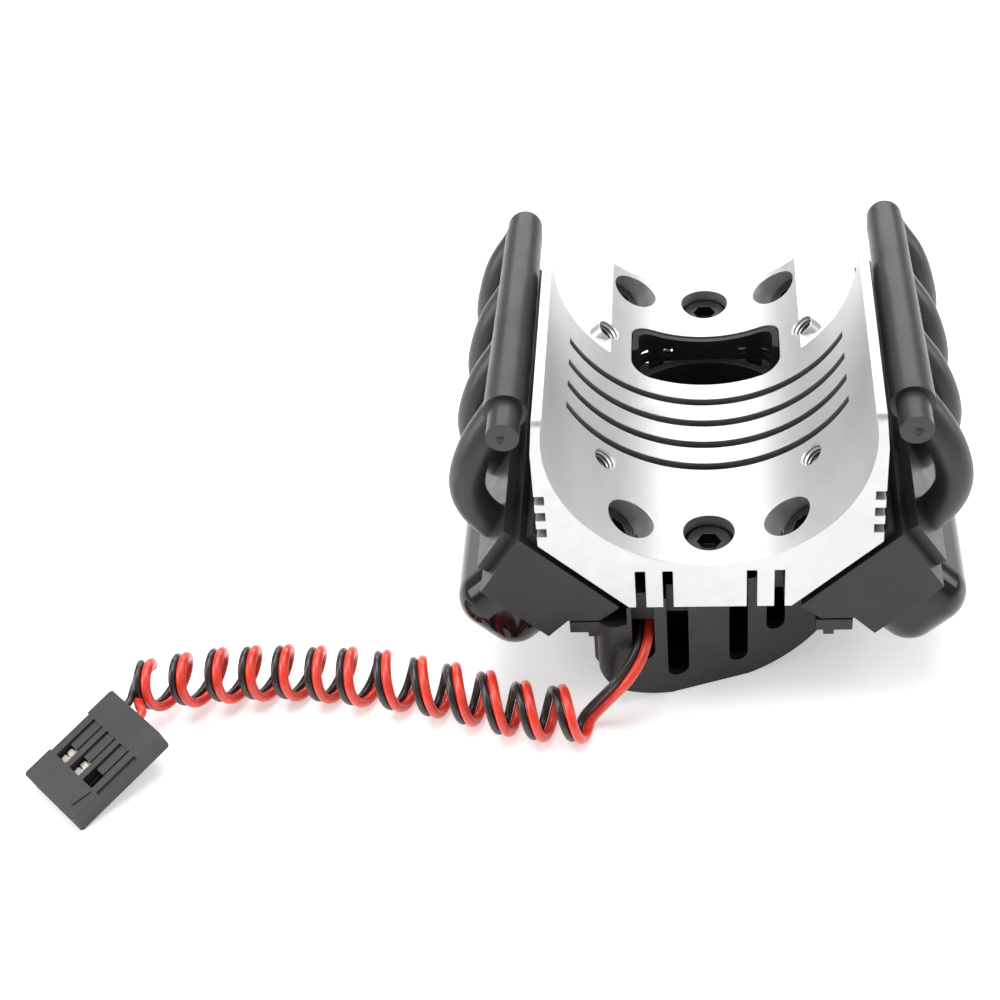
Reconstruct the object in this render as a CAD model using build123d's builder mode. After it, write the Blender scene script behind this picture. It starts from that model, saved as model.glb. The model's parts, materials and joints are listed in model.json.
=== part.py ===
from build123d import *
import os
from math import cos, pi, radians, sin, sqrt, tan

os.makedirs("parts", exist_ok=True)

# ---------------------------------------------------------------------------
# Saddle heat sink for a 36 mm electric motor, with a 25 mm cooling fan under
# it and moulded plastic dress-up parts in the shape of a V8 engine.
#
# Frame: the assembly stands on the flat of its fan cover, saddle opening up.
# +Z up, Y along the motor axis, X across. Origin at the bottom centre.
# Millimetres throughout.
# ---------------------------------------------------------------------------

# ---- driving dimensions ----------------------------------------------------
z_bore = 40.6            # height of the motor axis above the resting face
y_mid = 26.2             # half of the saddle length; front face at y = -y_mid
length = 52.4            # saddle length along the motor axis

bore_r = 18.0            # 36 mm motor can
wall_half = 19.19        # half width over the side walls
lip_x = 18.75            # outer half width at the top of the side walls
lip_z = 3.66             # top of the side walls above the motor axis
flat_half = 9.27         # half width of the flat underside
flat_z = -24.56          # underside below the motor axis
chamfer_z = flat_z + (wall_half - flat_half)
chamfer_d = (flat_half - flat_z) / sqrt(2)   # distance of the 45 degree faces from the motor axis

side_wall_len = 33.6     # length of the high side walls
shelf_z = -13.7          # rear shelf below the motor axis

slot_w = 1.2             # saw cut width
long_slot_x = (-7.87, -4.75, 4.75, 7.87)
long_slot_top = -18.85
cross_slot_y = (16.8, 20.75, 24.7, 28.7)   # from the front face
cross_slot_top = -7.9
groove_z = (-7.8, -10.2, -12.65)
groove_depth = 1.15
groove_h = 1.25

window = (18.4, 9.7, 2.4)    # width, length, corner radius
window_y = 36.95             # from the front face

fan_y = 28.9                 # fan axis from the front face
pocket_r = 12.9
pocket_top = -21.0

cb_r, cb_seat = 2.95, -22.3  # vertical counterbores
acb_r, acb_seat = 2.85, 22.4 # angled counterbores, seat distance from axis
screw_clear_r = 1.6
screw_r = 1.5
screw_y = (5.35, 48.6)
angled_t = -4.7
tap_r = 1.5                  # M3 thread, drawn at its nominal radius
tap_t = -1.11
tap_y = (13.4, 37.8)

head_gap = 1.08              # pad between chamfer and cylinder head
head_d = chamfer_d + head_gap
head_y = (0.4, 52.0)

seam_z = -34.4               # joint between intake housing and fan cover
plate_top, plate_bot = -27.25, -28.9
cover_z = -40.6              # underside of the fan cover
shell_t = 1.0

pipe_r = 2.1
pipe_y = (7.6, 18.35, 29.1, 39.85)   # where each pipe meets the head
coll_x, coll_z, coll_r = 22.4, -1.5, 2.5
coll_taper = 0.42        # the collector narrows towards the rear, degrees
coll_toe = 0.75          # and its axis closes in on the saddle, degrees

lead_d = 2.1                 # two-core silicone lead, over both cores
coil_d = 7.3                 # outside of the curled lead


# ---- work planes -----------------------------------------------------------
def front(y):
    """Plane across the motor axis, y from the front face, local (x, z - z_bore)."""
    return Plane(origin=(0, y - y_mid, z_bore), x_dir=(1, 0, 0), z_dir=(0, -1, 0))


def level(z):
    """Horizontal plane at z measured from the motor axis, local (x, y from front)."""
    return Plane(origin=(0, -y_mid, z_bore + z), x_dir=(1, 0, 0), z_dir=(0, 0, 1))


A = 1 / sqrt(2)


def bank(d):
    """Plane of the left cylinder bank at distance d from the motor axis, local (t, y)."""
    return Plane(origin=(-A * d, -y_mid, z_bore - A * d), x_dir=(-A, 0, A), z_dir=(-A, 0, -A))


# ---------------------------------------------------------------------------
# heat sink saddle
# ---------------------------------------------------------------------------
lip_in = sqrt(bore_r**2 - lip_z**2)
with BuildPart() as heatsink_saddle:
    with BuildSketch(front(0)) as saddle_profile:
        with BuildLine():
            Polyline(
                (-lip_in, lip_z), (-lip_x, lip_z), (-wall_half, -1.0), (-wall_half, chamfer_z),
                (-flat_half, flat_z), (flat_half, flat_z), (wall_half, chamfer_z),
                (wall_half, -1.0), (lip_x, lip_z), (lip_in, lip_z),
            )
            ThreePointArc((lip_in, lip_z), (0, -bore_r), (-lip_in, lip_z))
        make_face()
    extrude(amount=-length)
    # rounded front ends of the two side walls
    lip_edges = heatsink_saddle.edges().filter_by(Axis.X).filter_by(
        lambda e: e.center().Z > z_bore + lip_z - 0.01 and e.center().Y < -y_mid + 0.01)
    fillet(lip_edges, 1.0)
    # rear shelf
    with BuildSketch(level(shelf_z)):
        with Locations((0, side_wall_len + 15)):
            Rectangle(60, 30)
    extrude(amount=30, mode=Mode.SUBTRACT)
    # rounded rear ends of the two side walls
    rear_edges = heatsink_saddle.edges().filter_by(Axis.X).filter_by(
        lambda e: e.center().Z > z_bore + lip_z - 0.01 and e.center().Y > -y_mid + 5)
    fillet(rear_edges, 1.2)
    # saw cuts along the underside
    with BuildSketch(front(-1)):
        with Locations(*[(x, flat_z - 1) for x in long_slot_x]):
            Rectangle(slot_w, long_slot_top - flat_z + 1, align=(Align.CENTER, Align.MIN))
    extrude(amount=-(length + 2), mode=Mode.SUBTRACT)
    # air slots across the saddle
    with BuildSketch(level(flat_z - 1)):
        with Locations(*[(0, y) for y in cross_slot_y]):
            Rectangle(50, slot_w)
    extrude(amount=cross_slot_top - flat_z + 1, mode=Mode.SUBTRACT)
    # fine grooves in the outer side walls
    with BuildSketch(front(-1)):
        for sx in (-1, 1):
            with Locations(*[(sx * (wall_half - groove_depth / 2 + 0.5), z) for z in groove_z]):
                Rectangle(groove_depth + 1.0, groove_h)
    extrude(amount=-(length + 2), mode=Mode.SUBTRACT)
    # window above the fan
    with BuildSketch(level(flat_z - 1)):
        with Locations((0, window_y)):
            RectangleRounded(*window)
    extrude(amount=20, mode=Mode.SUBTRACT)
    # recess for the fan duct
    with BuildSketch(level(flat_z - 1)):
        with Locations((0, fan_y)):
            Circle(pocket_r)
    extrude(amount=pocket_top - flat_z + 1, mode=Mode.SUBTRACT)
    # counterbored holes for the two intake screws
    with BuildSketch(level(cb_seat)):
        with Locations(*[(0, y) for y in screw_y]):
            Circle(cb_r)
    extrude(amount=12, mode=Mode.SUBTRACT)
    with BuildSketch(level(flat_z - 1)):
        with Locations(*[(0, y) for y in screw_y]):
            Circle(screw_clear_r)
    extrude(amount=6, mode=Mode.SUBTRACT)

# angled holes: built once for the left bank, mirrored for the right
with BuildPart() as bank_holes:
    with BuildSketch(bank(acb_seat)):
        with Locations(*[(angled_t, y) for y in screw_y]):
            Circle(acb_r)
    extrude(amount=-9)
    with BuildSketch(bank(chamfer_d + 1)):
        with Locations(*[(angled_t, y) for y in screw_y]):
            Circle(screw_clear_r)
    extrude(amount=-5)
    with BuildSketch(bank(chamfer_d + 1)):
        with Locations(*[(tap_t, y) for y in tap_y]):
            Circle(tap_r)
    extrude(amount=-12)
    mirror(about=Plane.YZ)

with BuildPart() as heatsink_saddle_bored:
    add(heatsink_saddle.part)
    add(bank_holes.part, mode=Mode.SUBTRACT)
heatsink_saddle = heatsink_saddle_bored
heatsink_saddle.part.label = "heatsink_saddle"

# ---------------------------------------------------------------------------
# cylinder heads, pads, valve covers
# ---------------------------------------------------------------------------
def tz(t, d):
    """Left bank coordinates to (x, z from motor axis)."""
    return (-(t + d) * A, (t - d) * A)


with BuildPart() as left_cylinder_head:
    with BuildSketch(front(head_y[0])):
        with BuildLine():
            Polyline(tz(5.1, head_d), tz(2.9, 34.3), tz(-7.6, 34.3), (-16.5, -27.1), (-12.65, -27.1),
                     tz(-10.3, head_d), close=True)
        make_face()
    extrude(amount=-(head_y[1] - head_y[0]))
    # relief round the fan duct
    with BuildSketch(level(-32)):
        with Locations((0, fan_y)):
            Circle(pocket_r)
    extrude(amount=14, mode=Mode.SUBTRACT)
    # blind holes for the head screws
    with BuildSketch(bank(head_d - 0.5)):
        with Locations(*[(angled_t, y) for y in screw_y]):
            Circle(screw_r)
    extrude(amount=6.0, mode=Mode.SUBTRACT)
left_cylinder_head.part.label = "left_cylinder_head"

with BuildPart() as right_cylinder_head:
    mirror(left_cylinder_head.part, about=Plane.YZ)
right_cylinder_head.part.label = "right_cylinder_head"

with BuildPart() as left_head_pad:
    with BuildSketch(bank(chamfer_d)):
        with Locations((-2.6, length / 2)):
            Rectangle(13.4, length - 3.0)
        with Locations(*[(angled_t, y) for y in screw_y]):
            Circle(screw_clear_r, mode=Mode.SUBTRACT)
    extrude(amount=head_gap)
    with BuildSketch(level(-32)):
        with Locations((0, fan_y)):
            Circle(pocket_r)
    extrude(amount=14, mode=Mode.SUBTRACT)
left_head_pad.part.label = "left_head_pad"

with BuildPart() as right_head_pad:
    mirror(left_head_pad.part, about=Plane.YZ)
right_head_pad.part.label = "right_head_pad"

with BuildPart() as left_valve_cover:
    with BuildSketch(bank(34.3)):
        with Locations((-3.1, length / 2)):
            RectangleRounded(11.4, length - 3.0, 3.9)
    extrude(amount=7.3)
    outer_face = left_valve_cover.faces().filter_by(
        lambda f: abs(f.normal_at().Z + A) < 0.01 and abs(f.normal_at().X + A) < 0.01)
    fillet(outer_face.edges(), 3.8)
left_valve_cover.part.label = "left_valve_cover"

with BuildPart() as right_valve_cover:
    mirror(left_valve_cover.part, about=Plane.YZ)
right_valve_cover.part.label = "right_valve_cover"

# ---------------------------------------------------------------------------
# exhaust collectors and headers
# ---------------------------------------------------------------------------
def coll_plane(y):
    """Plane across the left collector's own axis, y from the front face."""
    toe = radians(coll_toe)
    return Plane(origin=(-coll_x + (y - 3.4) * tan(toe), y - y_mid, z_bore + coll_z),
                 x_dir=(cos(toe), -sin(toe), 0), z_dir=(-sin(toe), -cos(toe), 0))


with BuildPart() as left_collector:
    with BuildSketch(coll_plane(7.8)):
        Circle(coll_r)
    extrude(amount=-(41.5 - 7.8), taper=coll_taper)
    with BuildSketch(coll_plane(3.4)):
        Circle(1.88)
    extrude(amount=-4.5)
    with BuildSketch(coll_plane(41.4)):
        Circle(2.12)
    extrude(amount=-3.7)
    rear_face = left_collector.faces().sort_by(Axis.Y)[-1]
    fillet(rear_face.edges(), 1.8)
left_collector.part.label = "left_collector"

with BuildPart() as right_collector:
    mirror(left_collector.part, about=Plane.YZ)
right_collector.part.label = "right_collector"

# one pipe, from inside the collector round to the head: (x, rearward offset, z from motor axis, share of the bulge)
pipe_pts = [(-22.3, 3.4, -1.6, 0.0), (-22.9, 2.6, -2.6, 0.1), (-24.8, 1.4, -5.2, 0.5), (-26.7, 0.4, -9.0, 1.0),
            (-27.25, 0.0, -12.6, 1.0), (-25.9, 0.0, -16.4, 0.5), (-22.9, 0.0, -19.1, 0.0)]
pipe_bulge = (-0.2, 0.0, 0.45, 0.8)     # the bulge shrinks towards the rear
a_pt, b_pt = tz(5.1, head_d), tz(2.9, 34.3)
face_len = sqrt((b_pt[0] - a_pt[0])**2 + (b_pt[1] - a_pt[1])**2)
ux, uz = (b_pt[0] - a_pt[0]) / face_len, (b_pt[1] - a_pt[1]) / face_len   # down the side face
nx, nz = uz, -ux                                                        # outward normal
if nx > 0:
    nx, nz = -nx, -nz


def on_face(s, h):
    """Point s down the head's side face and h out from it."""
    return (a_pt[0] + ux * s + nx * h, a_pt[1] + uz * s + nz * h)


with BuildPart() as left_exhaust_header:
    # flange rail along the head
    with BuildSketch(front(2.6)):
        with BuildLine():
            Polyline(on_face(1.6, 0), on_face(1.6, 1.3), on_face(8.2, 1.3), on_face(8.2, 0), close=True)
        make_face()
    extrude(amount=-47.2)
    for y, bulge in zip(pipe_y, pipe_bulge):
        toe_in = (y - 3.4) * tan(radians(coll_toe))
        with BuildLine() as pipe_path:
            Spline(*[(x + w * bulge + (1 - w) * toe_in * (z > -5), y + dy - y_mid, z_bore + z)
                     for x, dy, z, w in pipe_pts])
        start = pipe_path.line @ 0
        with BuildSketch(Plane(origin=start, z_dir=pipe_path.line % 0)):
            Circle(pipe_r)
        sweep(path=pipe_path.line)
    # trimmed where the pipes meet the head and the collector
    add(left_cylinder_head.part, mode=Mode.SUBTRACT)
    add(left_collector.part, mode=Mode.SUBTRACT)
left_exhaust_header.part.label = "left_exhaust_header"

with BuildPart() as right_exhaust_header:
    mirror(left_exhaust_header.part, about=Plane.YZ)
right_exhaust_header.part.label = "right_exhaust_header"

# ---------------------------------------------------------------------------
# intake housing (holds the fan) and fan cover
# ---------------------------------------------------------------------------
plan = [(-10.6, -0.45), (12.9, 7.2), (13.7, 9.5), (13.7, 50.3), (10.6, 52.85), (-12.9, 45.2),
        (-13.7, 42.9), (-13.7, 2.1)]
boss_at = [(-11.2, 1.5), (11.2, length - 1.5)]
wall_slots = [(-7.8, 1.3, -33.9), (-3.8, 1.25, -37.8), (3.35, 1.1, -37.8), (7.75, 1.1, -34.0)]

# vertical round-ended slots through the skewed end walls, front and rear
with BuildPart() as wall_slot_cut:
    for x, hw, zb in wall_slots:
        for side in (0, 1):
            xx = x if side == 0 else -x
            y0 = 0.4 + 0.325 * (x + 8)
            yy = y0 - 1.6 if side == 0 else length - y0 - 1.9
            with BuildSketch(front(yy)):
                with BuildLine():
                    Polyline((xx - hw, zb + hw), (xx - hw, -24.0), (xx + hw, -24.0), (xx + hw, zb + hw))
                    ThreePointArc((xx + hw, zb + hw), (xx, zb), (xx - hw, zb + hw))
                make_face()
            extrude(amount=-3.5)

with BuildPart() as intake_housing:
    # side walls
    with BuildSketch(level(seam_z)):
        with BuildLine():
            Polyline(*plan, close=True)
        make_face()
        offset(amount=-shell_t, mode=Mode.SUBTRACT)
    extrude(amount=plate_bot - seam_z)
    # flange plate with mounting ears
    with BuildSketch(level(plate_bot)):
        with BuildLine():
            Polyline(*plan, close=True)
        make_face()
        for sx in (-1, 1):
            for yy in (5.3, length - 5.3):
                with Locations((sx * 14.2, yy)):
                    Rectangle(4.2, 10.0)
    extrude(amount=plate_top - plate_bot)
    # pad between the heads that carries the saddle
    with BuildSketch(level(plate_top)):
        with BuildLine():
            Polyline(*plan, close=True)
        make_face()
        with BuildLine():
            Polyline((-9.6, -5), (9.6, -5), (9.6, length + 5), (-9.6, length + 5), close=True)
        make_face(mode=Mode.INTERSECT)
    extrude(amount=flat_z - plate_top)
    # bosses at two corners
    with BuildSketch(level(seam_z)):
        with Locations(*boss_at):
            Circle(2.05)
    extrude(amount=plate_top - seam_z)
    # small teeth under the ears
    with BuildSketch(level(plate_bot - 0.9)):
        for sx in (-1, 1):
            for yy in (1.3, length - 1.3):
                with Locations((sx * 13.6, yy)):
                    Rectangle(1.2, 1.6)
    extrude(amount=0.9)
    # air duct up to the saddle
    with BuildSketch(level(plate_bot)):
        with Locations((0, fan_y)):
            Circle(pocket_r - 0.3)
    extrude(amount=pocket_top - 0.1 - plate_bot)
    # rim that lines the window behind the duct
    with BuildSketch(level(pocket_top - 0.1)):
        with Locations((0, window_y)):
            RectangleRounded(window[0] - 0.3, window[1] - 0.3, window[2] - 0.15)
            RectangleRounded(window[0] - 1.7, window[1] - 1.7, window[2] - 0.7, mode=Mode.SUBTRACT)
        with Locations((0, fan_y)):
            Circle(11.8, mode=Mode.SUBTRACT)
    extrude(amount=8.0)
    with BuildSketch(level(-20.1)):
        with Locations(*[(x, window_y + 4) for x in long_slot_x]):
            Rectangle(slot_w, 6)
    extrude(amount=0.9, mode=Mode.SUBTRACT)
    with BuildSketch(front(-1)):
        Circle(bore_r + 0.15)
    extrude(amount=-(length + 2), mode=Mode.SUBTRACT)
    with BuildSketch(level(plate_bot - 1)):
        with Locations((0, fan_y)):
            Circle(11.6)
    extrude(amount=12, mode=Mode.SUBTRACT)
    # end wall slots, screw holes
    add(wall_slot_cut.part, mode=Mode.SUBTRACT)
    with BuildSketch(level(-28.5)):
        with Locations(*[(0, y) for y in screw_y]):
            Circle(screw_r)
    extrude(amount=6, mode=Mode.SUBTRACT)
    with BuildSketch(level(plate_bot - 0.5)):
        with Locations(*[(sx * 10, fan_y + sy * 10) for sx in (-1, 1) for sy in (-1, 1)]):
            Circle(1.0)
    extrude(amount=1.9, mode=Mode.SUBTRACT)
intake_housing.part.label = "intake_housing"

# half profile of the cover underside: flat in the middle, curving up to the side walls
arch = [(-13.7, -35.0), (-10.2, -38.3), (-4.6, cover_z)]
arch_in = [(-12.7, -35.56), (-9.6, -37.45), (-4.4, cover_z + shell_t)]
with BuildPart() as cover_inside:
    with BuildSketch(level(cover_z)):
        with BuildLine():
            Polyline(*plan, close=True)
        make_face()
        offset(amount=-shell_t)
    extrude(amount=7.5)
    with BuildSketch(front(-2)):
        with BuildLine():
            Polyline(arch_in[0], (-15, -35.55), (-15, -33), (15, -33), (15, -35.55), (-arch_in[0][0], arch_in[0][1]))
            ThreePointArc(arch_in[0], arch_in[1], arch_in[2])
            Line(arch_in[2], (-arch_in[2][0], arch_in[2][1]))
            ThreePointArc(*[(-x, z) for x, z in reversed(arch_in)])
        make_face()
    extrude(amount=-(length + 4), mode=Mode.INTERSECT)

with BuildPart() as fan_cover:
    with BuildSketch(level(cover_z)):
        with BuildLine():
            Polyline(*plan, close=True)
        make_face()
        with Locations(*boss_at):
            Circle(2.05)
    extrude(amount=seam_z - cover_z)
    with BuildSketch(front(-2)):
        with BuildLine():
            Polyline(arch[0], (-13.7, -33), (13.7, -33), (-arch[0][0], arch[0][1]))
            ThreePointArc(arch[0], arch[1], arch[2])
            Line(arch[2], (-arch[2][0], arch[2][1]))
            ThreePointArc(*[(-x, z) for x, z in reversed(arch)])
        make_face()
    extrude(amount=-(length + 4), mode=Mode.INTERSECT)
    add(cover_inside.part, mode=Mode.SUBTRACT)
    add(wall_slot_cut.part, mode=Mode.SUBTRACT)
fan_cover.part.label = "fan_cover"

# ---------------------------------------------------------------------------
# cooling fan, 25 x 25 x 6.6 mm, axis vertical
# ---------------------------------------------------------------------------
fan_top = plate_bot
fan_bot = plate_bot - 6.6
with BuildPart() as fan_frame:
    with BuildSketch(level(fan_bot)):
        with Locations((0, fan_y)):
            RectangleRounded(25, 25, 2.2)
            Circle(11.6, mode=Mode.SUBTRACT)
            with GridLocations(20, 20, 2, 2):
                Circle(1.1, mode=Mode.SUBTRACT)
    extrude(amount=6.6)
    # recesses for the screw heads
    with BuildSketch(level(fan_bot)):
        with Locations((0, fan_y)):
            with GridLocations(20, 20, 2, 2):
                Circle(1.95)
    extrude(amount=1.3, mode=Mode.SUBTRACT)
    # motor base on three struts, on the outlet side
    with BuildSketch(level(fan_top - 1.1)):
        with Locations((0, fan_y)):
            Circle(5.2)
            with PolarLocations(0, 3, start_angle=30):
                with Locations((8.6, 0)):
                    Rectangle(7.4, 1.3)
    extrude(amount=1.1)
    # bearing tube
    with BuildSketch(level(fan_top - 5.0)):
        with Locations((0, fan_y)):
            Circle(1.9)
    extrude(amount=4.2)
    with BuildSketch(level(fan_top - 5.5)):
        with Locations((0, fan_y)):
            Circle(1.5)
    extrude(amount=4.4, mode=Mode.SUBTRACT)
fan_frame.part.label = "fan_frame"

with BuildPart() as fan_bearing:
    with BuildSketch(level(fan_top - 4.9)):
        with Locations((0, fan_y)):
            Circle(1.5)
            Circle(0.78, mode=Mode.SUBTRACT)
    extrude(amount=3.0)
fan_bearing.part.label = "fan_bearing"

with BuildPart() as fan_shaft:
    with BuildSketch(level(fan_top - 5.6)):
        with Locations((0, fan_y)):
            Circle(0.75)
    extrude(amount=4.2)
fan_shaft.part.label = "fan_shaft"

with BuildPart() as fan_retaining_clip:
    with BuildSketch(level(fan_top - 1.8)):
        with Locations((0, fan_y)):
            Circle(1.35)
            Circle(0.75, mode=Mode.SUBTRACT)
    extrude(amount=0.25)
fan_retaining_clip.part.label = "fan_retaining_clip"

with BuildPart() as fan_circuit_board:
    with BuildSketch(level(fan_top - 1.45)):
        with Locations((0, fan_y)):
            Circle(4.6)
            Circle(1.9, mode=Mode.SUBTRACT)
    extrude(amount=0.35)
fan_circuit_board.part.label = "fan_circuit_board"

with BuildPart() as fan_stator_core:
    with BuildSketch(level(fan_top - 4.4)):
        with Locations((0, fan_y)):
            Circle(3.8)
            Circle(3.3, mode=Mode.SUBTRACT)
            with PolarLocations(0, 4, start_angle=45):
                with Locations((3.6, 0)):
                    Rectangle(1.2, 1.1, mode=Mode.SUBTRACT)
            Circle(2.5)
            Rectangle(7.0, 1.0)
            Rectangle(1.0, 7.0)
            Circle(1.9, mode=Mode.SUBTRACT)
    extrude(amount=1.8)
fan_stator_core.part.label = "fan_stator_core"

with BuildPart() as fan_coils:
    with BuildSketch(level(fan_top - 4.7)):
        with Locations((0, fan_y)):
            with PolarLocations(0, 4):
                with Locations((2.9, 0)):
                    Rectangle(0.6, 2.2)
    extrude(amount=2.4)
    add(fan_stator_core.part, mode=Mode.SUBTRACT)
fan_coils.part.label = "fan_coils"

with BuildPart() as fan_magnet_ring:
    with BuildSketch(level(fan_top - 5.1)):
        with Locations((0, fan_y)):
            Circle(4.8)
            Circle(4.1, mode=Mode.SUBTRACT)
    extrude(amount=3.3)
fan_magnet_ring.part.label = "fan_magnet_ring"

rotor_bot = fan_top - 6.2
with BuildPart() as blade_ring:
    with BuildSketch(level(rotor_bot + 0.2)):
        with Locations((0, fan_y)):
            Circle(11.25)
            Circle(5.2, mode=Mode.SUBTRACT)
    extrude(amount=4.5)
with BuildPart() as fan_rotor:
    for k in range(7):
        blade_plane = Plane(origin=(0, fan_y - y_mid, z_bore + rotor_bot + 2.4), x_dir=(0, 0, 1),
                            z_dir=Vector(1, 0, 0).rotate(Axis.Z, 360 / 7 * k))
        with BuildSketch(blade_plane.offset(4.0)):
            Rectangle(7.5, 0.7, rotation=42)
        extrude(amount=9.0)
    add(blade_ring.part, mode=Mode.INTERSECT)
    with BuildSketch(level(rotor_bot)):
        with Locations((0, fan_y)):
            Circle(5.4)
    extrude(amount=4.9)
    with BuildSketch(level(rotor_bot + 0.8)):
        with Locations((0, fan_y)):
            Circle(4.8)
    extrude(amount=5, mode=Mode.SUBTRACT)
    with BuildSketch(level(rotor_bot + 0.6)):
        with Locations((0, fan_y)):
            Circle(0.75)
    extrude(amount=5, mode=Mode.SUBTRACT)
fan_rotor.part.label = "fan_rotor"

# ---------------------------------------------------------------------------
# fasteners
# ---------------------------------------------------------------------------
with BuildPart() as intake_screws:
    with BuildSketch(level(cb_seat)):
        with Locations(*[(0, y) for y in screw_y]):
            Circle(2.75)
    extrude(amount=3.0)
    fillet(intake_screws.edges().filter_by(GeomType.CIRCLE).group_by(Axis.Z)[-1], 0.35)
    with BuildSketch(level(cb_seat + 3.0)):
        with Locations(*[(0, y) for y in screw_y]):
            RegularPolygon(1.44, 6)
    extrude(amount=-1.6, mode=Mode.SUBTRACT)
    with BuildSketch(level(-28.3)):
        with Locations(*[(0, y) for y in screw_y]):
            Circle(screw_r)
    extrude(amount=cb_seat + 28.3)
intake_screws.part.label = "intake_screws"

with BuildPart() as left_head_screws:
    with BuildSketch(bank(acb_seat)):
        with Locations(*[(angled_t, y) for y in screw_y]):
            Circle(2.7)
    extrude(amount=-3.0)
    with BuildSketch(bank(acb_seat - 3.0)):
        with Locations(*[(angled_t, y) for y in screw_y]):
            RegularPolygon(1.44, 6)
    extrude(amount=1.6, mode=Mode.SUBTRACT)
    with BuildSketch(bank(acb_seat)):
        with Locations(*[(angled_t, y) for y in screw_y]):
            Circle(screw_r)
    extrude(amount=7.6)
left_head_screws.part.label = "left_head_screws"

with BuildPart() as right_head_screws:
    mirror(left_head_screws.part, about=Plane.YZ)
right_head_screws.part.label = "right_head_screws"

with BuildPart() as fan_screws:
    with BuildSketch(level(fan_bot + 1.3)):
        with Locations((0, fan_y)):
            with GridLocations(20, 20, 2, 2):
                Circle(1.0)
    extrude(amount=6.6)
    with BuildSketch(level(fan_bot + 0.1)):
        with Locations((0, fan_y)):
            with GridLocations(20, 20, 2, 2):
                Circle(1.8)
    extrude(amount=1.2)
    with BuildSketch(level(fan_bot + 0.1)):
        with Locations((0, fan_y)):
            with GridLocations(20, 20, 2, 2):
                Rectangle(2.2, 0.45)
                Rectangle(0.45, 2.2)
    extrude(amount=0.6, mode=Mode.SUBTRACT)
fan_screws.part.label = "fan_screws"

# ---------------------------------------------------------------------------
# fan lead: straight stretch, curled stretch, tail, plug
# ---------------------------------------------------------------------------
def cord_path(points, name):
    """Straight runs joined by tangent arcs, each as large as its runs allow."""
    radii = []
    for p, q, r in zip(points[:-2], points[1:-1], points[2:]):
        p, q, r = Vector(*p), Vector(*q), Vector(*r)
        a, b = q - p, r - q
        turn = a.get_angle(b)
        radii.append(0.45 * min(a.length, b.length) / tan(radians(turn) / 2))
    print(name, "radii", [round(v, 1) for v in radii],
          "runs", [round((Vector(*b) - Vector(*a)).length, 1) for a, b in zip(points[:-1], points[1:])])
    return radii


# route of the lead, in the row frame
lead_pts = [
    (-7.7, -9.8, 10.45),
    (-7.6, -14.2, 10.5),
    (-7.7, -18.8, 10.5),
    (-7.5, -23.6, 10.3),
    (-8.25, -27.5, 9.1),
    (-10.4, -29.9, 7.1),
    (-13.2, -31.3, 4.9),
    (-17.0, -31.4, 3.7),
]
coil_pts = [
    (-14.8, -31.3, 3.65),
    (-22.8, -30.9, 3.65),
    (-31.2, -27.5, 3.65),
    (-41.8, -25.2, 3.65),
    (-55.4, -23.7, 3.65),
    (-68.4, -26.0, 3.65),
]
tail_pts = [
    (-68.8, -26.6, 3.9),
    (-69.0, -32.3, 5.07),
]
lead_r = cord_path(lead_pts, "lead")
coil_r = cord_path(coil_pts, "coil")

with BuildPart() as fan_lead:
    with BuildLine() as lead_line:
        FilletPolyline(*lead_pts, radius=lead_r)
    with BuildSketch(Plane(origin=lead_line.line @ 0, z_dir=lead_line.line % 0)):
        Circle(lead_d / 2)
    sweep(path=lead_line.line)
fan_lead.part.label = "fan_lead"

with BuildPart() as fan_lead_coil:
    with BuildLine() as coil_line:
        FilletPolyline(*coil_pts, radius=coil_r)
    with BuildSketch(Plane(origin=coil_line.line @ 0, z_dir=coil_line.line % 0)):
        Circle(coil_d / 2)
    sweep(path=coil_line.line)
fan_lead_coil.part.label = "fan_lead_coil"

with BuildPart() as fan_lead_tail:
    with BuildLine() as tail_line:
        Line(*tail_pts)
    with BuildSketch(Plane(origin=tail_line.line @ 0, z_dir=tail_line.line % 0)):
        Circle(lead_d / 2)
    sweep(path=tail_line.line)
fan_lead_tail.part.label = "fan_lead_tail"
print("lead volume", round(fan_lead.part.volume, 2), "expected",
      round(pi * (lead_d / 2) ** 2 * lead_line.wire().length, 2))
print("coil volume", round(fan_lead_coil.part.volume, 2), "expected",
      round(pi * (coil_d / 2) ** 2 * coil_line.wire().length, 2))

# three-way plug, standing on its front lower edge with its rear held up by the lead
plug_l, plug_w, plug_h = 14.1, 10.16, 2.8
plug_pitch = 2.75
plug_front = (-76.73, -42.35)      # middle of the edge it stands on
plug_dir, plug_tilt = 46.0, 16.0   # heading of the lead entry from +X, and its rise
ca, sa = cos(radians(plug_dir)), sin(radians(plug_dir))
ct, st = cos(radians(plug_tilt)), sin(radians(plug_tilt))


def plug_level(z):
    """Plane in the plug, z above its underside, local x towards the lead entry."""
    return Plane(origin=(plug_front[0] + ca * (ct * plug_l / 2 - st * z),
                         plug_front[1] + sa * (ct * plug_l / 2 - st * z),
                         st * plug_l / 2 + ct * z),
                 x_dir=(ca * ct, sa * ct, st), z_dir=(-ca * st, -sa * st, ct))


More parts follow.
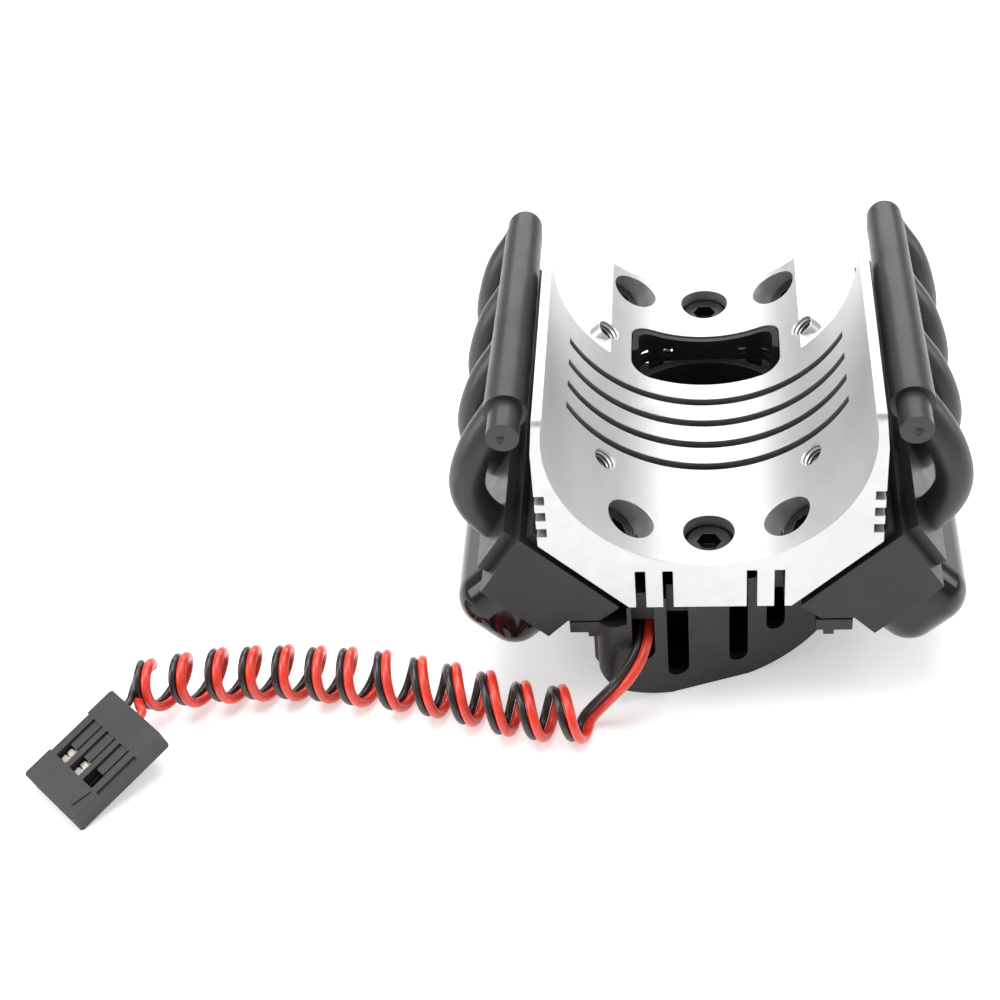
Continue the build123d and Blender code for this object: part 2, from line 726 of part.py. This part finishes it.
with BuildPart() as plug_housing:
    with BuildSketch(plug_level(0)):
        Rectangle(plug_l, plug_w)
    extrude(amount=plug_h)
    chamfer(plug_housing.edges().filter_by(Axis((0, 0, 0), (-ca * st, -sa * st, ct))), 0.3)
    # three contact ways, open at the mating end
    with BuildSketch(Plane(origin=plug_level(0).from_local_coords((-plug_l / 2 - 0.1, 0, plug_h / 2 - 0.1)),
                           x_dir=plug_level(0).y_dir, z_dir=plug_level(0).x_dir)):
        with GridLocations(plug_pitch, 1, 3, 1):
            Rectangle(1.6, 1.6)
    extrude(amount=plug_l - 0.8, mode=Mode.SUBTRACT)
    # core entries at the rear
    with BuildSketch(Plane(origin=plug_level(0).from_local_coords((plug_l / 2 + 0.1, 0, plug_h / 2)),
                           x_dir=plug_level(0).y_dir, z_dir=plug_level(0).x_dir)):
        with GridLocations(plug_pitch, 1, 3, 1):
            Rectangle(1.6, 1.6)
    extrude(amount=-2.0, mode=Mode.SUBTRACT)
    # shallow channels for the latches in the top face, each ending in a window
    with BuildSketch(plug_level(plug_h)):
        with GridLocations(1, plug_pitch, 1, 3):
            with Locations((0.1, 0)):
                Rectangle(6.0, 1.9)
    extrude(amount=-0.35, mode=Mode.SUBTRACT)
    with BuildSketch(plug_level(plug_h)):
        with GridLocations(1, plug_pitch, 1, 3):
            with Locations((-1.9, 0)):
                Rectangle(2.0, 1.9)
    extrude(amount=-1.6, mode=Mode.SUBTRACT)
    # latches: springy tongues lying in the channels
    with BuildSketch(plug_level(plug_h - 0.9)):
        with GridLocations(1, plug_pitch, 1, 3):
            with Locations((1.1, 0)):
                Rectangle(4.0, 1.15)
    extrude(amount=0.75)
    # side rails
    with BuildSketch(plug_level(plug_h)):
        with Locations((0.1, plug_w / 2 - 0.2), (0.1, -plug_w / 2 + 0.2)):
            Rectangle(6.0, 0.5)
    extrude(amount=-0.35, mode=Mode.SUBTRACT)
plug_housing.part.label = "plug_housing"

with BuildPart() as plug_contacts:
    with BuildSketch(plug_level(0.6)):
        with Locations((-0.4, plug_pitch), (-0.4, 0)):
            Rectangle(12.0, 1.35)
    extrude(amount=1.2)
    # raised barrels seen through the windows
    with BuildSketch(plug_level(1.8)):
        with Locations((-1.5, plug_pitch), (-2.5, plug_pitch), (-1.5, 0), (-2.5, 0)):
            Rectangle(0.75, 1.3)
    extrude(amount=0.3)
    add(plug_housing.part, mode=Mode.SUBTRACT)
plug_contacts.part.label = "plug_contacts"

# ---------------------------------------------------------------------------
# export
# ---------------------------------------------------------------------------
export_step(heatsink_saddle.part, "parts/heatsink_saddle.step")
export_step(left_cylinder_head.part, "parts/left_cylinder_head.step")
export_step(right_cylinder_head.part, "parts/right_cylinder_head.step")
export_step(left_head_pad.part, "parts/left_head_pad.step")
export_step(right_head_pad.part, "parts/right_head_pad.step")
export_step(left_valve_cover.part, "parts/left_valve_cover.step")
export_step(right_valve_cover.part, "parts/right_valve_cover.step")
export_step(left_collector.part, "parts/left_collector.step")
export_step(right_collector.part, "parts/right_collector.step")
export_step(left_exhaust_header.part, "parts/left_exhaust_header.step")
export_step(right_exhaust_header.part, "parts/right_exhaust_header.step")
export_step(intake_housing.part, "parts/intake_housing.step")
export_step(fan_cover.part, "parts/fan_cover.step")
export_step(fan_frame.part, "parts/fan_frame.step")
export_step(fan_bearing.part, "parts/fan_bearing.step")
export_step(fan_shaft.part, "parts/fan_shaft.step")
export_step(fan_retaining_clip.part, "parts/fan_retaining_clip.step")
export_step(fan_circuit_board.part, "parts/fan_circuit_board.step")
export_step(fan_stator_core.part, "parts/fan_stator_core.step")
export_step(fan_coils.part, "parts/fan_coils.step")
export_step(fan_magnet_ring.part, "parts/fan_magnet_ring.step")
export_step(fan_rotor.part, "parts/fan_rotor.step")
export_step(intake_screws.part, "parts/intake_screws.step")
export_step(left_head_screws.part, "parts/left_head_screws.step")
export_step(right_head_screws.part, "parts/right_head_screws.step")
export_step(fan_screws.part, "parts/fan_screws.step")
export_step(fan_lead.part, "parts/fan_lead.step")
export_step(fan_lead_coil.part, "parts/fan_lead_coil.step")
export_step(fan_lead_tail.part, "parts/fan_lead_tail.step")
export_step(plug_housing.part, "parts/plug_housing.step")
export_step(plug_contacts.part, "parts/plug_contacts.step")
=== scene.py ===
import bpy
import bmesh
import json
import math
import numpy as np
from mathutils import Matrix, Vector


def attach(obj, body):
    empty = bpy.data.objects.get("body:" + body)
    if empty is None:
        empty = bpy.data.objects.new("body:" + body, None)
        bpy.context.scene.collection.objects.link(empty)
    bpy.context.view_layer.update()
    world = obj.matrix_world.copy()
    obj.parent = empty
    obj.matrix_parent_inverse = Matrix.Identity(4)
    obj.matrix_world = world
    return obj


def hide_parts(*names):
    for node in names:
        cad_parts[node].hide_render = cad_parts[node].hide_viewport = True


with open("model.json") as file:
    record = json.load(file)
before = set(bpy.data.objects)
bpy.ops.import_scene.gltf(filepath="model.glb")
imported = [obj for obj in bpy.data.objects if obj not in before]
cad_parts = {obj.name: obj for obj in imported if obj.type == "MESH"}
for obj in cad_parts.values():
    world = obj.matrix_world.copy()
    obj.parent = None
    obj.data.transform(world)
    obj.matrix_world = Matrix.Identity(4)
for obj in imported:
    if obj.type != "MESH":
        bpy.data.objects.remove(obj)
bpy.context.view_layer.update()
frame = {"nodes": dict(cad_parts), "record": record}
MM = 0.001
Z_BORE, Y_MID = 40.6, 26.2

# ---------------------------------------------------------------------------
# camera
# ---------------------------------------------------------------------------
F_PX = 2067.69
CAM = (-0.92, -167.75 - Y_MID, 145.09 + Z_BORE)
PITCH, YAW, ROLL = math.radians(42.05), math.radians(-7.46), math.radians(-5.97)
fw = Vector((math.sin(YAW) * math.cos(PITCH), math.cos(YAW) * math.cos(PITCH), -math.sin(PITCH)))
rt = Vector((math.cos(YAW), -math.sin(YAW), 0))
up = rt.cross(fw)
c, s = math.cos(ROLL), math.sin(ROLL)
rt2, up2 = c * rt + s * up, -s * rt + c * up
cam_data = bpy.data.cameras.new("camera")
cam = bpy.data.objects.new("camera", cam_data)
bpy.context.scene.collection.objects.link(cam)
cam.matrix_world = Matrix((
    (rt2.x, up2.x, -fw.x, CAM[0] * MM), (rt2.y, up2.y, -fw.y, CAM[1] * MM),
    (rt2.z, up2.z, -fw.z, CAM[2] * MM), (0, 0, 0, 1)))
cam_data.sensor_width = 36
cam_data.lens = F_PX * 36 / 1000
cam_data.clip_start = 0.005
bpy.context.scene.camera = cam


# ---------------------------------------------------------------------------
# material helpers
# ---------------------------------------------------------------------------
class Nodes:
    """A small builder for one node material."""

    def __init__(self, name):
        self.m = bpy.data.materials.new(name)
        self.m.use_nodes = True
        self.t = self.m.node_tree
        self.bsdf = self.t.nodes["Principled BSDF"]
        self.coord = self.t.nodes.new("ShaderNodeTexCoord")

    def node(self, kind, **values):
        n = self.t.nodes.new(kind)
        for k, v in values.items():
            setattr(n, k, v)
        return n

    def link(self, a, b):
        self.t.links.new(a, b)

    def mapping(self, scale=(1, 1, 1), rotation=(0, 0, 0)):
        n = self.node("ShaderNodeMapping")
        n.inputs["Scale"].default_value = scale
        n.inputs["Rotation"].default_value = rotation
        self.link(self.coord.outputs["Object"], n.inputs["Vector"])
        return n.outputs["Vector"]

    def noise(self, scale, detail=3.0, rough=0.55, vector=None):
        n = self.node("ShaderNodeTexNoise")
        n.inputs["Scale"].default_value = scale
        n.inputs["Detail"].default_value = detail
        n.inputs["Roughness"].default_value = rough
        self.link(vector or self.coord.outputs["Object"], n.inputs["Vector"])
        return n.outputs["Fac"]

    def span(self, fac, low, high, a=0.3, b=0.7):
        n = self.node("ShaderNodeMapRange")
        n.inputs["From Min"].default_value = a
        n.inputs["From Max"].default_value = b
        n.inputs["To Min"].default_value = low
        n.inputs["To Max"].default_value = high
        self.link(fac, n.inputs["Value"])
        return n.outputs["Result"]

    def mix(self, fac, a, b):
        n = self.node("ShaderNodeMix", data_type="RGBA")
        for sock, v in ((6, a), (7, b)):
            if isinstance(v, tuple):
                n.inputs[sock].default_value = (*v, 1)
            else:
                self.link(v, n.inputs[sock])
        self.link(fac, n.inputs[0])
        return n.outputs[2]

    def edges(self, radius, low=0.02, high=0.25):
        """Mask that is 1 on sharp outer edges, from the rounded and the true normal."""
        bev = self.node("ShaderNodeBevel", samples=4)
        bev.inputs["Radius"].default_value = radius
        geo = self.node("ShaderNodeNewGeometry")
        dot = self.node("ShaderNodeVectorMath", operation="DOT_PRODUCT")
        self.link(bev.outputs["Normal"], dot.inputs[0])
        self.link(geo.outputs["Normal"], dot.inputs[1])
        return self.span(dot.outputs["Value"], 1.0, 0.0, 1 - high, 1 - low)

    def bump(self, height, distance, strength=1.0, normal=None, bevel=0.0):
        n = self.node("ShaderNodeBump")
        n.inputs["Distance"].default_value = distance
        n.inputs["Strength"].default_value = strength
        self.link(height, n.inputs["Height"])
        if normal is not None:
            self.link(normal, n.inputs["Normal"])
        elif bevel:
            bev = self.node("ShaderNodeBevel", samples=4)
            bev.inputs["Radius"].default_value = bevel
            self.link(bev.outputs["Normal"], n.inputs["Normal"])
        return n.outputs["Normal"]


def plastic(name, dark, light, rough=(0.42, 0.55), grain=5200, depth=0.000012, coat=0.0, wear=(0.12, 0.12, 0.125),
            wear_amount=0.35, bevel=0.00012, specular=0.5, sheen=0.0):
    """Moulded plastic: fine grain, uneven gloss, paler worn edges."""
    n = Nodes(name)
    big = n.noise(130, 4)
    fine = n.noise(grain, 2, 0.6)
    base = n.mix(n.span(big, 0, 1, 0.35, 0.65), dark, light)
    speck = n.mix(n.span(n.noise(2300, 5, 0.7), 0, 0.5, 0.62, 0.72), base, tuple(x * 1.7 for x in light))
    edge = n.edges(bevel * 1.3)
    patchy = n.node("ShaderNodeMath", operation="MULTIPLY")
    n.link(edge, patchy.inputs[0])
    n.link(n.span(n.noise(900, 4), 0, wear_amount, 0.35, 0.65), patchy.inputs[1])
    n.link(n.mix(patchy.outputs[0], speck, wear), n.bsdf.inputs["Base Color"])
    n.link(n.span(n.noise(300, 4), rough[0], rough[1]), n.bsdf.inputs["Roughness"])
    n.link(n.bump(fine, depth, 0.6, bevel=bevel), n.bsdf.inputs["Normal"])
    n.bsdf.inputs["Specular IOR Level"].default_value = specular
    n.bsdf.inputs["Coat Weight"].default_value = coat
    n.bsdf.inputs["Coat Roughness"].default_value = 0.06
    return n.m


def metal(name, a, b, rough=(0.3, 0.42), grain=4200, depth=0.000008, stretch=(1, 1, 1), bevel=0.0001, metallic=1.0,
          edge_light=None, edge_amount=0.6):
    """Metal: fine surface grain in one direction, uneven polish, brighter edges."""
    n = Nodes(name)
    vec = n.mapping(stretch)
    fine = n.noise(grain, 3, 0.6, vec)
    base = n.mix(n.span(n.noise(220, 5), 0, 1, 0.35, 0.65), a, b)
    if edge_light:
        e = n.node("ShaderNodeMath", operation="MULTIPLY")
        e.inputs[1].default_value = edge_amount
        n.link(n.edges(bevel * 1.2), e.inputs[0])
        base = n.mix(e.outputs[0], base, edge_light)
    n.link(base, n.bsdf.inputs["Base Color"])
    n.link(n.span(n.noise(480, 5), rough[0], rough[1]), n.bsdf.inputs["Roughness"])
    n.link(n.bump(fine, depth, 0.7, bevel=bevel), n.bsdf.inputs["Normal"])
    n.bsdf.inputs["Metallic"].default_value = metallic
    return n.m


def silicone(name, dark, light, rough):
    """Soft silicone wire cover: smooth, slightly dusty, faint print-free surface ripple."""
    n = Nodes(name)
    base = n.mix(n.span(n.noise(420, 4), 0, 1, 0.35, 0.65), dark, light)
    dust = n.mix(n.span(n.noise(6000, 3, 0.7), 0, 0.25, 0.6, 0.75), base, tuple(min(1, x * 1.25 + 0.05) for x in light))
    n.link(dust, n.bsdf.inputs["Base Color"])
    n.link(n.span(n.noise(700, 4), rough - 0.05, rough + 0.07), n.bsdf.inputs["Roughness"])
    n.link(n.bump(n.noise(2600, 3), 0.000012, 0.5), n.bsdf.inputs["Normal"])
    n.bsdf.inputs["Coat Weight"].default_value = 0.25
    n.bsdf.inputs["Coat Roughness"].default_value = 0.2
    return n.m


def aluminium():
    """Bead-blasted, clear-anodised aluminium with faint tool marks along the bore."""
    n = Nodes("aluminium_blasted")
    tool = n.noise(2600, 2, 0.5, n.mapping((0.12, 1.0, 0.12)))
    grit = n.noise(7000, 3, 0.65)
    cloud = n.noise(60, 4)
    base = n.mix(n.span(cloud, 0, 1, 0.35, 0.65), (0.60, 0.60, 0.61), (0.65, 0.65, 0.655))
    base = n.mix(n.span(grit, 0, 0.35, 0.5, 0.75), base, (0.62, 0.62, 0.63))
    e = n.node("ShaderNodeMath", operation="MULTIPLY")
    e.inputs[1].default_value = 0.7
    n.link(n.edges(0.00016), e.inputs[0])
    base = n.mix(e.outputs[0], base, (0.90, 0.90, 0.90))
    # painted shade: narrow grooves and holes are darkened in the base colour by an ambient-occlusion mask
    recess_shade_ao = n.node("ShaderNodeAmbientOcclusion", samples=8)
    recess_shade_ao.inputs["Distance"].default_value = 0.003
    base = n.mix(n.span(recess_shade_ao.outputs["AO"], 1, 0, 0.18, 0.5), base, (0.06, 0.06, 0.062))
    n.link(base, n.bsdf.inputs["Base Color"])
    n.link(n.span(n.noise(900, 5), 0.40, 0.5), n.bsdf.inputs["Roughness"])
    both = n.node("ShaderNodeMath", operation="MULTIPLY_ADD")
    both.inputs[1].default_value = 0.35
    n.link(tool, both.inputs[0])
    n.link(grit, both.inputs[2])
    n.link(n.bump(both.outputs[0], 0.00001, 0.55, bevel=0.00014), n.bsdf.inputs["Normal"])
    n.bsdf.inputs["Metallic"].default_value = 0.85
    return n.m


MATS = {
    "aluminium": aluminium(),
    "matte_black": plastic("plastic_matte", (0.010, 0.010, 0.011), (0.016, 0.016, 0.017), (0.36, 0.48), specular=0.38,
                           wear=(0.10, 0.10, 0.105)),
    "satin_black": plastic("plastic_satin", (0.022, 0.022, 0.024), (0.032, 0.032, 0.034), (0.34, 0.44), grain=3800,
                           depth=0.000014, wear=(0.16, 0.16, 0.165)),
    "gloss_black": plastic("plastic_gloss", (0.003, 0.003, 0.0035), (0.005, 0.005, 0.0055), (0.08, 0.15), depth=0.000002,
                           coat=0.25, wear_amount=0.12, specular=0.3),
    "pad_black": plastic("rubber_pad", (0.012, 0.012, 0.012), (0.022, 0.022, 0.022), (0.7, 0.85), depth=0.00002),
    "fan_plastic": plastic("plastic_fan", (0.014, 0.014, 0.015), (0.022, 0.022, 0.023), (0.38, 0.5)),
    "bronze": metal("bronze_sintered", (0.42, 0.27, 0.13), (0.52, 0.35, 0.18), (0.4, 0.55), grain=9000, depth=0.00001),
    "steel": metal("steel_ground", (0.50, 0.50, 0.52), (0.60, 0.60, 0.62), (0.2, 0.3), stretch=(0.15, 0.15, 1)),
    "board": plastic("board_green", (0.01, 0.09, 0.035), (0.02, 0.13, 0.05), (0.3, 0.4), wear=(0.2, 0.25, 0.18)),
    "copper": metal("copper_enamel", (0.55, 0.22, 0.10), (0.65, 0.30, 0.14), (0.25, 0.35), stretch=(1, 1, 6)),
    "magnet": plastic("ferrite", (0.03, 0.03, 0.032), (0.05, 0.05, 0.052), (0.5, 0.65), depth=0.00001),
    "black_steel": metal("steel_black_oxide", (0.022, 0.022, 0.025), (0.045, 0.044, 0.046), (0.28, 0.42), metallic=0.8,
                         edge_light=(0.22, 0.21, 0.21), edge_amount=0.5),
    "plug_black": plastic("plastic_plug", (0.028, 0.028, 0.029), (0.038, 0.038, 0.040), (0.46, 0.58), grain=6000,
                          wear=(0.15, 0.15, 0.155)),
    "contact_metal": metal("contact_tin", (0.72, 0.66, 0.52), (0.85, 0.80, 0.68), (0.2, 0.34), stretch=(1, 1, 0.2)),
}
slot_of = {p["node"]: p["material_slot"] for p in frame["record"]["subparts"]}
for name, ob in frame["nodes"].items():
    mat = MATS.get(slot_of.get(name))
    if mat is not None:
        ob.data.materials.clear()
        ob.data.materials.append(mat)

red = silicone("silicone_red", (0.70, 0.034, 0.018), (0.82, 0.055, 0.028), 0.30)
black = silicone("silicone_black", (0.012, 0.008, 0.008), (0.022, 0.015, 0.015), 0.32)


def link(ob):
    bpy.context.scene.collection.objects.link(ob)
    return ob


def mesh_object(name, bm, material, smooth=True):
    me = bpy.data.meshes.new(name)
    bmesh.ops.recalc_face_normals(bm, faces=bm.faces)
    bm.to_mesh(me)
    bm.free()
    for p in me.polygons:
        p.use_smooth = smooth
    me.materials.append(material)
    return link(bpy.data.objects.new(name, me))


# ---------------------------------------------------------------------------
# the fan lead: two silicone cores side by side
# ---------------------------------------------------------------------------
LEAD = [(-7.7, -9.8, 10.45), (-7.6, -14.2, 10.5), (-7.7, -18.8, 10.5), (-7.5, -23.6, 10.3), (-8.25, -27.5, 9.1),
        (-10.4, -29.9, 7.1), (-13.2, -31.3, 4.9), (-17.0, -31.4, 3.7)]
COIL = [(-22.8, -30.9, 3.65), (-31.2, -27.5, 3.65), (-41.8, -25.2, 3.65), (-55.4, -23.7, 3.65), (-68.4, -26.0, 3.65)]
RED_R, BLACK_R = 0.59, 0.48


def nurbs(name, points, bevel=0.0, material=None, resolution=12):
    """One open NURBS curve with these control points, in mm."""
    cu = bpy.data.curves.new(name, "CURVE")
    cu.dimensions = "3D"
    sp = cu.splines.new("NURBS")
    sp.points.add(len(points) - 1)
    for p, q in zip(sp.points, points):
        p.co = (q[0] * MM, q[1] * MM, q[2] * MM, 1)
    sp.order_u = 3
    sp.use_endpoint_u = True
    cu.resolution_u = resolution
    cu.bevel_depth = bevel * MM
    cu.bevel_resolution = 5
    cu.use_fill_caps = True
    if material:
        cu.materials.append(material)
    return bpy.data.objects.new(name, cu)


route = nurbs("route", LEAD + COIL, resolution=24)
route_mesh = bpy.data.meshes.new_from_object(route)
line = np.array([v.co for v in route_mesh.vertices], float) / MM
bpy.data.meshes.remove(route_mesh)
bpy.data.objects.remove(route)

# where the front of each turn stands along X, and the outside diameter of each turn
FRONT_X = [-66.9, -62.65, -58.45, -54.6, -50.63, -46.55, -42.67, -37.95, -33.5, -29.32, -24.93, -20.8, -16.28]
TURN_OD = [6.9, 7.3, 7.3, 7.1, 7.15, 7.05, 7.5, 7.4, 7.3, 7.4, 7.6, 7.0, 7.2]


def along(table, x):
    """Linear in x over FRONT_X, carried on past both ends."""
    if x < FRONT_X[0]:
        k = 0
    elif x >= FRONT_X[-1]:
        k = len(FRONT_X) - 2
    else:
        k = max(i for i in range(len(FRONT_X) - 1) if FRONT_X[i] <= x)
    t = (x - FRONT_X[k]) / (FRONT_X[k + 1] - FRONT_X[k])
    return table[k] + t * (table[k + 1] - table[k])


def axis_at(x):
    """The coil's own line at x, read from the route."""
    xs = line[::-1]
    xs = xs[xs[:, 0] < -9.0]
    order = np.argsort(xs[:, 0])
    xs = xs[order]
    if x < xs[0, 0]:
        d = (xs[4] - xs[0]) / (xs[4, 0] - xs[0, 0])
        return xs[0] + d * (x - xs[0, 0])
    return np.array([x] + [np.interp(x, xs[:, 0], xs[:, k]) for k in (1, 2)])


def step(t):
    t = min(1.0, max(0.0, t))
    return t * t * (3 - 2 * t)


phase_table = [90 + 360 * k for k in range(len(FRONT_X))]
START_X, END_X = -14.7, -69.0
centre, radial = [], []
# straight stretch, from the fan to where the curl begins
for p in [q for q in line if q[0] > -11.0][::8]:
    centre.append(p)
    radial.append(np.zeros(3))
x = START_X
while x > END_X:
    a = math.radians(along(phase_table, x))
    od = along(TURN_OD, min(max(x, FRONT_X[0]), FRONT_X[-1]))
    r = od / 2 - RED_R
    lift = 1.0 * step((-50 - x) / 16)
    lean = 0.27 * step((-25 - x) / 25)
    out = np.array([0, -math.sin(a), math.cos(a)])
    p = axis_at(x)
    centre.append(np.array([p[0] - lean * r * math.sin(a), p[1] - 1.1 * lift, od / 2 + 0.03 + lift]) + r * out)
    radial.append(out)
    pitch = 360 / (along(phase_table, x + 0.01) - along(phase_table, x)) * 0.01
    x -= pitch / 16
centre, radial = np.array(centre), np.array(radial)
tangent = np.gradient(centre, axis=0)
tangent /= np.linalg.norm(tangent, axis=1)[:, None]
to_plug = np.array([-1.0, 0.05, 0.0])
side = to_plug - (tangent @ to_plug)[:, None] * tangent
side /= np.linalg.norm(side, axis=1)[:, None]

# plug: the middle of its rear face, the way into it, across it and out of its top
TURN, TILT = math.radians(46), math.radians(16)
U = np.array([math.cos(TURN) * math.cos(TILT), math.sin(TURN) * math.cos(TILT), math.sin(TILT)])
V = np.array([-math.sin(TURN), math.cos(TURN), 0])
UPZ = np.cross(U, V)
PLUG_FRONT = np.array([-76.73, -42.35, 0.0])
REAR = PLUG_FRONT + U * 14.1 + UPZ * 1.4
black_in = REAR + 2.75 * V
red_in = REAR
black_pts = [tuple(p) for p in (centre + side * (RED_R + 0.01) - radial * 0.1)[:-2]]
black_pts += [(-69.2, -24.4, 5.6), (-69.5, -24.7, 4.6), (-69.6, -26.4, 4.4), (-69.4, -28.6, 5.2),
              tuple(black_in + U * 0.4), tuple(black_in - U * 1.3)]
red_pts = [tuple(p) for p in centre - side * (BLACK_R + 0.01)]
red_pts += [(-68.7, -24.0, 4.0), (-68.8, -25.6, 3.4), (-69.0, -28.0, 4.2), (-68.4, -30.6, 4.95),
            tuple(red_in + U * 0.6), tuple(red_in - U * 1.3)]
core_black = link(nurbs("fan_lead_black", black_pts, BLACK_R, black, 5))
core_red = link(nurbs("fan_lead_red", red_pts, RED_R, red, 5))
for core in (core_black, core_red):
    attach(core, "body")
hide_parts("fan_lead", "fan_lead_coil", "fan_lead_tail")
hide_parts("fan_lead", "fan_lead_coil", "fan_lead_tail")

# ---------------------------------------------------------------------------
# threads in the four tapped holes
# ---------------------------------------------------------------------------
A = 1 / math.sqrt(2)
CHAMFER_D = (9.27 + 24.56) / math.sqrt(2)
TAP_T, TAP_R, BORE_R = -1.11, 1.5, 18.0


def bank_point(sx, t, d, y):
    """Bank coordinates to mm in the row frame; sx is -1 on the left."""
    return Vector((-sx * -(t + d) * A if sx > 0 else -(t + d) * A, y - Y_MID, Z_BORE + (t - d) * A))


for sx, side_name in ((-1, "left"), (1, "right")):
    for y0, end_name in ((13.4, "front"), (37.8, "rear")):
        bm = bmesh.new()
        NA, PITCH_MM = 40, 0.5
        n_ax = int((CHAMFER_D - 0.1 - 17.0) / (PITCH_MM / 8))
        rings = {}
        for shell in (0, 1):
            for i in range(NA):
                phi = 2 * math.pi * i / NA
                tt, yy = math.cos(phi), math.sin(phi)
                d0 = math.sqrt(BORE_R ** 2 - (TAP_T + TAP_R * tt) ** 2) + 0.1
                d1 = CHAMFER_D - 0.12
                for j in range(n_ax + 1):
                    d = d0 + (d1 - d0) * j / n_ax
                    if shell == 0:
                        w = (d / PITCH_MM + i / NA) % 1.0
                        ridge = 1 - abs(2 * w - 1)
                        lead_in = min(1.0, (d - d0) / 0.35, (d1 - d) / 0.3)
                        r = TAP_R - 0.03 - 0.25 * ridge * max(0.0, lead_in)
                    else:
                        r = TAP_R + 0.06
                    p = bank_point(sx, TAP_T + r * tt, d, y0 + r * yy) * MM
                    rings[shell, i, j] = bm.verts.new(p)
        for i in range(NA):
            k = (i + 1) % NA
            for j in range(n_ax):
                for shell in (0, 1):
                    bm.faces.new((rings[shell, i, j], rings[shell, k, j], rings[shell, k, j + 1], rings[shell, i, j + 1]))
            for j in (0, n_ax):
                bm.faces.new((rings[0, i, j], rings[0, k, j], rings[1, k, j], rings[1, i, j]))
        thread = mesh_object(f"thread_{side_name}_{end_name}", bm, MATS["aluminium"])
        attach(thread, "body")

# ---------------------------------------------------------------------------
# gate marks on the ends of the collectors
# ---------------------------------------------------------------------------
for sx, side_name in ((-1, "left"), (1, "right")):
    bm = bmesh.new()
    profile = [(0.0, 0.10), (0.16, 0.10), (0.22, 0.02), (0.30, 0.02), (0.36, 0.12), (0.46, 0.12), (0.52, -0.08), (0.0, -0.08)]
    rows = []
    for r, h in profile:
        if r == 0:
            rows.append([bm.verts.new(Vector((sx * 22.4 + 0.25 * sx, 3.4 - Y_MID - h, Z_BORE - 1.75)) * MM)])
            continue
        rows.append([])
        for i in range(28):
            phi = 2 * math.pi * i / 28
            wob = 1 + 0.08 * math.sin(3 * phi + sx) + 0.05 * math.sin(5 * phi + 1)
            rows[-1].append(bm.verts.new(Vector((
                sx * 22.4 + 0.25 * sx + r * wob * math.cos(phi), 3.4 - Y_MID - h,
                Z_BORE - 1.75 + r * wob * math.sin(phi))) * MM))
    for a, b in zip(rows[:-1], rows[1:]):
        for i in range(28):
            k = (i + 1) % 28
            if len(a) == 1:
                bm.faces.new((a[0], b[i], b[k]))
            elif len(b) == 1:
                bm.faces.new((a[i], a[k], b[0]))
            else:
                bm.faces.new((a[i], a[k], b[k], b[i]))
    gate = mesh_object(f"gate_mark_{side_name}", bm, MATS["satin_black"])
    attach(gate, "body")

# ---------------------------------------------------------------------------
# first-way mark on the plug: a plain raised triangle
# ---------------------------------------------------------------------------
plug_c = REAR - U * 7.05
bm = bmesh.new()
corner = [(-5.9, -3.5), (-3.2, -4.1), (-3.6, -2.0)]
for z0, z1 in ((2.7, 2.95),):
    low = [bm.verts.new(Vector(plug_c + U * a + V * b - UPZ * 1.4 + UPZ * z0) * MM) for a, b in corner]
    high = [bm.verts.new(Vector(plug_c + U * a + V * b - UPZ * 1.4 + UPZ * z1) * MM) for a, b in corner]
    bm.faces.new(low)
    bm.faces.new(high)
    for i in range(3):
        bm.faces.new((low[i], low[(i + 1) % 3], high[(i + 1) % 3], high[i]))
bmesh.ops.bevel(bm, geom=list(bm.edges), offset=0.03 * MM, segments=2, affect="EDGES")
mark = mesh_object("plug_way_mark", bm, MATS["plug_black"], smooth=False)
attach(mark, "body")

# ---------------------------------------------------------------------------
# floor and light
# ---------------------------------------------------------------------------
bm = bmesh.new()
bmesh.ops.create_grid(bm, x_segments=2, y_segments=2, size=2.5)
fn = Nodes("studio_floor")
fn.link(fn.mix(fn.span(fn.noise(3, 3), 0, 1), (0.90, 0.90, 0.90), (0.91, 0.91, 0.91)), fn.bsdf.inputs["Base Color"])
fn.link(fn.span(fn.noise(8, 3), 0.12, 0.16), fn.bsdf.inputs["Roughness"])
fn.bsdf.inputs["Specular IOR Level"].default_value = 0.35
fn.bsdf.inputs["Emission Color"].default_value = (1, 1, 1, 1)
fn.bsdf.inputs["Emission Strength"].default_value = 0.4
floor = mesh_object("studio_floor", bm, fn.m)
floor.location.z = -0.00002

world = bpy.data.worlds.new("studio")
bpy.context.scene.world = world
world.use_nodes = True
world.node_tree.nodes["Background"].inputs[0].default_value = (1, 1, 1, 1)
world.node_tree.nodes["Background"].inputs[1].default_value = 0.45
bpy.context.scene.view_settings.view_transform = "Standard"


def area(name, place, target, size, power, colour=(1, 1, 1)):
    li = bpy.data.lights.new(name, "AREA")
    li.shape = "RECTANGLE"
    li.size, li.size_y = size
    li.energy = power
    li.color = colour
    ob = link(bpy.data.objects.new(name, li))
    ob.location = place
    ob.rotation_euler = (Vector(target) - Vector(place)).to_track_quat("-Z", "Y").to_euler()
    return ob


area("top_softbox", (-0.05, 0.10, 0.62), (0, 0, 0.01), (0.55, 0.45), 3.7)
area("left_softbox", (-0.55, -0.10, 0.30), (0, 0, 0.02), (0.30, 0.45), 1.9)
area("right_softbox", (0.50, 0.05, 0.28), (0, 0, 0.02), (0.25, 0.40), 1.2)
area("back_softbox", (0.0, 0.55, 0.35), (0, 0, 0.02), (0.6, 0.25), 1.6)

bpy.context.view_layer.update()
